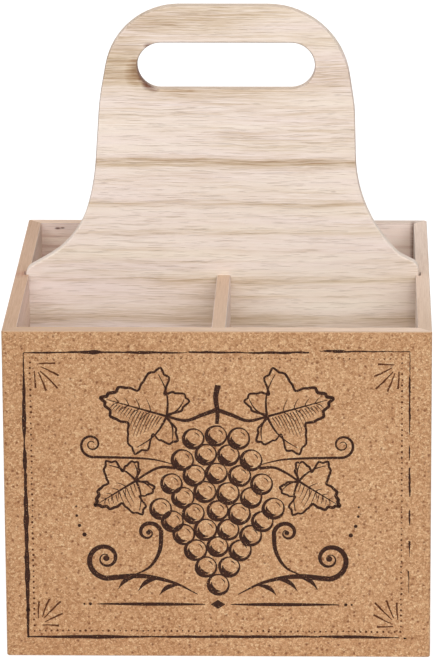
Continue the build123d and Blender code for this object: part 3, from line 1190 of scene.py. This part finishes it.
    def leaf_strokes(self, hatches: int) -> list[Strokes]:
        """Gives a leaf's outline, its five main veins, their side veins and the hatching of its shaded half.

        Args:
            hatches: Number of hatched lines.

        Returns:
            The leaf, its stalk at the origin, in shares of its length but with breadths in millimetres.
        """
        outline = self.leaf_outline(self.leaf_points)
        tips = np.array(((0.97, 0.0), (0.33, 0.60), (0.33, -0.60), (-0.15, 0.33), (-0.15, -0.33)))
        roots = np.zeros_like(tips) + (0.03, 0.0)
        veins = straight(roots, tips, 24, np.array((0.0, 0.1, -0.1, 0.12, -0.12))[:, None, None])
        spots = np.array((0.28, 0.45, 0.62, 0.78))
        starts = np.stack((spots, np.zeros_like(spots)), axis=-1)
        ends = starts + np.stack((0.14 - 0.06 * spots, 0.24 - 0.22 * spots), axis=-1)
        starts, ends = np.concatenate((starts, starts)), np.concatenate((ends, ends * (1, -1)))
        side_veins = straight(starts, ends, 12, 0.06)
        rows = np.linspace(0.10, 0.84, hatches)
        depth = np.interp(rows, (0.1, 0.25, 0.36, 0.55, 0.84), (0.26, 0.44, 0.56, 0.25, 0.15))
        hatch_starts = np.stack((rows, np.full_like(rows, -0.035)), axis=-1)
        hatch_ends = np.stack((rows + 0.05, -depth * 0.82), axis=-1)
        return [
            Strokes(outline, np.full((1, self.leaf_points), 1.15)).unsteady(41, 0.0, 0.22),
            alike(veins, tapering(24, 1.25, 0.35)),
            alike(side_veins, tapering(12, 0.55, 0.2)),
            alike(straight(hatch_starts, hatch_ends, 10, 0.03), tapering(10, 0.5, 0.2)),
        ]

    def placed(self, strokes: Sequence[Strokes], origin: Flat, size: float, turn: float) -> list[Strokes]:
        """Scales, turns and moves strokes that are laid out in shares of a length.

        Args:
            strokes: The strokes.
            origin: Where their origin goes.
            size: The length, in millimetres.
            turn: How far they turn to the left, in turns.

        Returns:
            The placed strokes.
        """
        cosine, sine = np.cos(2 * np.pi * turn), np.sin(2 * np.pi * turn)
        spin = np.array(((cosine, sine), (-sine, cosine)))
        return [Strokes(size * group.paths @ spin + origin, group.widths) for group in strokes]

    def both_sides(self, strokes: Sequence[Strokes]) -> list[Strokes]:
        """Gives strokes and their mirror images."""
        return [*strokes, *(group.mirrored() for group in strokes)]

    def vine_leaves(self) -> list[Strokes]:
        """Gives a large leaf at each side of the bunch and a small one below it."""
        large = self.placed(self.leaf_strokes(17), (22.5, 118.5), 31.0, 0.045)
        small = self.placed(self.leaf_strokes(9), (37.5, 87.5), 22.0, -0.09)
        return self.both_sides([*large, *small])

    def curled(self, corners: Sequence[Flat], curl: Flat, radii: Span, turns: Span, thickest: float) -> Strokes:
        """Gives a stroke that runs smoothly through some points and on into a spiral.

        Args:
            corners: The points before the spiral.
            curl: Middle of the spiral.
            radii: Its radius where it starts and where it ends.
            turns: Its angle where it starts and where it ends, in turns.
            thickest: Greatest breadth of the stroke, part of the way along.

        Returns:
            The stroke.
        """
        first, last = np.array(turns)[:, None]
        spiral = turning(np.array((curl,)), np.array((radii,)), first, last, 80)
        run = through((*corners, tuple(spiral[0, 0])), 60)
        path = np.concatenate((run, spiral[:, 1:]), axis=1)
        share = np.linspace(0, 1, path.shape[1])
        return alike(path, 0.45 + (thickest - 0.45) * np.sin(np.pi * share**0.8) ** 1.6)

    def vine_stem(self) -> list[Strokes]:
        """Gives the stalk of the bunch, the two branches that carry the leaves, and curling tendrils."""
        stalk = single(((0.6, 134.0), (-0.5, 128.0), (0.3, 121.0), (0.0, 115.0)), tapering(32, 2.8, 1.7))
        branch = single(((0.0, 122.0), (7.0, 119.4), (14.5, 116.7), (23.0, 118.6)), tapering(40, 2.2, 1.2))
        twig = single(((19.6, 93.4), (26.5, 93.8), (32.5, 91.0), (38.0, 87.2)), tapering(40, 1.5, 1.0))
        corners = ((20.2, 95.2), (30.0, 97.6), (42.0, 98.4))
        tendril = self.curled(corners, (58.5, 104.9), (6.2, 1.3), (-0.25, 1.4), 1.3)
        return [stalk, *self.both_sides([branch, twig, tendril])]

    def scrolls(self) -> list[Strokes]:
        """Gives a pair of scrolls each side below the leaves, with leaf-shaped flicks and a row of dots."""
        corners = ((9.5, 31.0), (21.0, 36.8), (36.0, 40.0))
        long_scroll = self.curled(corners, (52.6, 48.6), (9.8, 1.9), (-0.25, 1.35), 2.6)
        corners = ((40.5, 40.0), (32.0, 44.5), (27.3, 52.5))
        short_scroll = self.curled(corners, (32.6, 61.5), (6.2, 1.4), (0.5, -0.75), 2.1)
        starts = np.array(((18.0, 35.4), (27.0, 38.6), (36.0, 40.0)))
        ends = np.array(((27.5, 30.6), (37.5, 32.6), (47.0, 33.4)))
        flicks = alike(straight(starts, ends, 24, 0.16), swelling(24, 0.2, 2.2, 1.3))
        eyes = self.dots(((52.4, 48.8), (32.5, 61.6)), (3.0, 2.3))
        row = self.dots(((62.5, 60.5), (64.8, 65.0), (66.0, 69.8), (66.2, 74.4)), (2.1, 1.7, 1.3, 1.0))
        return self.both_sides([long_scroll, short_scroll, flicks, eyes, row])

    def swelling_rule(self) -> list[Strokes]:
        """Gives the rule under the bunch: two lines that swell and taper, a lozenge between them and dots."""
        starts, ends = np.array(((6.0, 26.0), (-3.4, 26.0))), np.array(((57.0, 26.0), (3.4, 26.0)))
        line = alike(straight(starts[:1], ends[:1], 80), swelling(80, 0.35, 1.7, 0.8)).unsteady(52, 0.06, 0.06)
        lozenge = alike(straight(starts[1:], ends[1:], 21), 4.4 * (1 - np.abs(np.linspace(-1, 1, 21))) + 0.12)
        dots = self.dots(((60.2, 26.0), (63.0, 26.0)), (1.6, 1.0))
        return [lozenge, *self.both_sides([line, dots])]

    def build(self, ink: bpy.types.Material, thin_ink: bpy.types.Material) -> None:
        """Makes the pieces of the print, gives them their ink and lets them ride on the box.

        Args:
            ink: The ink of the strokes.
            thin_ink: The ink of the dots and the fans.
        """
        pieces = {
            "ink_frame_line": self.frame_line(),
            "ink_dotted_line": self.dotted_line(),
            "ink_corner_fans": self.corner_fans(),
            "ink_grapes": self.grapes(),
            "ink_vine_leaves": self.vine_leaves(),
            "ink_vine_stem": self.vine_stem(),
            "ink_scrolls": self.scrolls(),
            "ink_swelling_rule": self.swelling_rule(),
        }
        for name, strokes in pieces.items():
            piece = self.mesh(name, strokes)
            piece.data.materials.append(thin_ink if name in self.thinly_inked else ink)
            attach(piece, "root")
            LOG.info("made %s of %d faces", name, len(piece.data.polygons))


def posed(name: str, data: bpy.types.ID, *columns: Array | Point) -> bpy.types.Object:
    """Adds a lamp or camera, given the ways of its X, Y and Z axes and then its place."""
    pose = np.eye(4)
    pose[:3] = np.stack(columns, axis=-1)
    made = linked(name, data)
    made.matrix_world = Matrix(pose.tolist())
    return made


@dataclass(frozen=True)
class Lamp:
    """Broad soft lamp far away: its name, strength, spread in radians, and the way that it lies."""

    name: str
    strength: float
    spread: float
    towards: Point
    distance: float = 3.0

    def build(self) -> None:
        """Adds the lamp, turned so that it shines from its side of the object."""
        data = bpy.data.lights.new(self.name, "SUN")
        data.energy, data.angle = self.strength, self.spread
        back = np.array(self.towards) / np.linalg.norm(self.towards)
        side = np.cross((0.0, 0.0, 1.0), back)
        side /= np.linalg.norm(side)
        posed(self.name, data, side, np.cross(back, side), back, self.distance * back)


@dataclass
class Studio:
    """Pale floor, soft light and the camera.

    lens and sensor are in millimetres. pitch, yaw and roll are in radians: down, to the left and right side up.
    sky is how strong the white surroundings are as a light. The floor has a grey that takes light, and where it
    is seen another grey and a glow that make it white but for the shadow.
    """

    lens: float = 267.08
    sensor: float = 36.0
    eye: Point = (0.06517, -2.27306, 0.79898)
    pitch: float = 0.28546
    yaw: float = 0.0292
    roll: float = -0.00574
    far: float = 100.0
    floor_size: float = 14.0
    floor_lines: int = 5
    floor_level: float = -0.0002
    floor_grey: float = 0.78
    seen_grey: float = 0.5
    glow: float = 0.72
    sky: float = 0.3
    lamps: tuple[Lamp, ...] = (
        Lamp("key", 1.79, 0.8, (0.24, -0.87, 0.46)),
        Lamp("fill", 0.95, 0.8, (-0.5, -0.58, 0.66)),
        Lamp("top", 0.45, 0.8, (0.05, 0.3, 0.95)),
    )

    def camera(self) -> None:
        """Sets the camera up where the photograph was taken, turned, tilted and rolled as it was."""
        data = bpy.data.cameras.new("camera")
        data.lens, data.sensor_width = self.lens, self.sensor
        data.clip_end = self.far
        ahead = np.array(
            (-np.sin(self.yaw) * np.cos(self.pitch), np.cos(self.yaw) * np.cos(self.pitch), -np.sin(self.pitch))
        )
        level = np.array((np.cos(self.yaw), np.sin(self.yaw), 0.0))
        above = np.cross(level, ahead)
        across = np.cos(self.roll) * level + np.sin(self.roll) * above
        up = np.cos(self.roll) * above - np.sin(self.roll) * level
        bpy.context.scene.camera = posed("camera", data, across, up, -ahead, self.eye)

    def seen(self, graph: Graph) -> Socket:
        """Gives 1 for what the camera sees, straight, mirrored or through glass, and 0 for other light."""
        path = graph.node("LightPath").outputs
        result = path["Is Camera Ray"]
        for name in ("Is Glossy Ray", "Is Transmission Ray"):
            result = graph.math("MAXIMUM", result, path[name])
        return result

    def surroundings(self) -> None:
        """Makes the world white where it is seen, and moderate as a light."""
        world = bpy.data.worlds.new("surroundings")
        bpy.context.scene.world = world
        graph = Graph(world)
        level = graph.remap(self.seen(graph), 0.0, 1.0, self.sky, 1.0)
        background = graph.node("Background", {"Color": WHITE, "Strength": level})
        graph.node("OutputWorld", {"Surface": background.outputs[0]})

    def floor_material(self) -> bpy.types.Material:
        """Builds the floor's material, which shows white with the object's shadow on it."""
        graph = Graph(bpy.data.materials.new("pale_floor"))
        greys = ((grey, grey, grey, 1.0) for grey in (self.floor_grey, self.seen_grey))
        lit, soft = (graph.node("BsdfDiffuse", {"Color": grey}) for grey in greys)
        glow = graph.node("Emission", {"Strength": self.glow})
        shown = graph.node("AddShader", {0: soft.outputs[0], 1: glow.outputs[0]})
        either = graph.node("MixShader", {0: self.seen(graph), 1: lit.outputs[0], 2: shown.outputs[0]})
        graph.node("OutputMaterial", {"Surface": either.outputs[0]})
        return graph.owner

    def floor(self) -> None:
        """Lays the pale floor, a square grid just under the object."""
        lines = self.floor_lines
        steps = np.linspace(-0.5, 0.5, lines) * self.floor_size
        across, deep = np.meshgrid(steps, steps)
        corners = np.stack((across, deep, np.full_like(across, self.floor_level)), axis=-1).reshape(-1, 3)
        number = np.arange(lines**2).reshape(lines, lines)
        quads = np.stack((number[:-1, :-1], number[:-1, 1:], number[1:, 1:], number[1:, :-1]), axis=-1)
        mesh = bpy.data.meshes.new("floor")
        mesh.from_pydata(corners, (), quads.reshape(-1, 4).tolist())
        mesh.materials.append(self.floor_material())
        linked("floor", mesh)

    def build(self) -> None:
        """Sets up the camera, the floor and the light."""
        self.camera()
        self.floor()
        for lamp in self.lamps:
            lamp.build()
        self.surroundings()
        bpy.context.scene.view_settings.view_transform = "Standard"
        LOG.info("set up the camera, the floor and the light")


def main() -> None:
    """Dresses the caddy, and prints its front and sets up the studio."""
    logging.basicConfig(level=logging.INFO, format="%(message)s")
    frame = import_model()
    nodes = frame["nodes"]
    CrossedBoards().dress(nodes)
    BoxBoards().dress(nodes)
    CorkFacing().dress(nodes)
    Brads().dress(nodes)
    thin_ink = InkFinish("thin_brown_ink", full=(74, 40, 22), worn=(108, 64, 38))
    FrontPrint().build(InkFinish().material(), thin_ink.material())
    Studio().build()


if __name__ == "__main__":
    main()
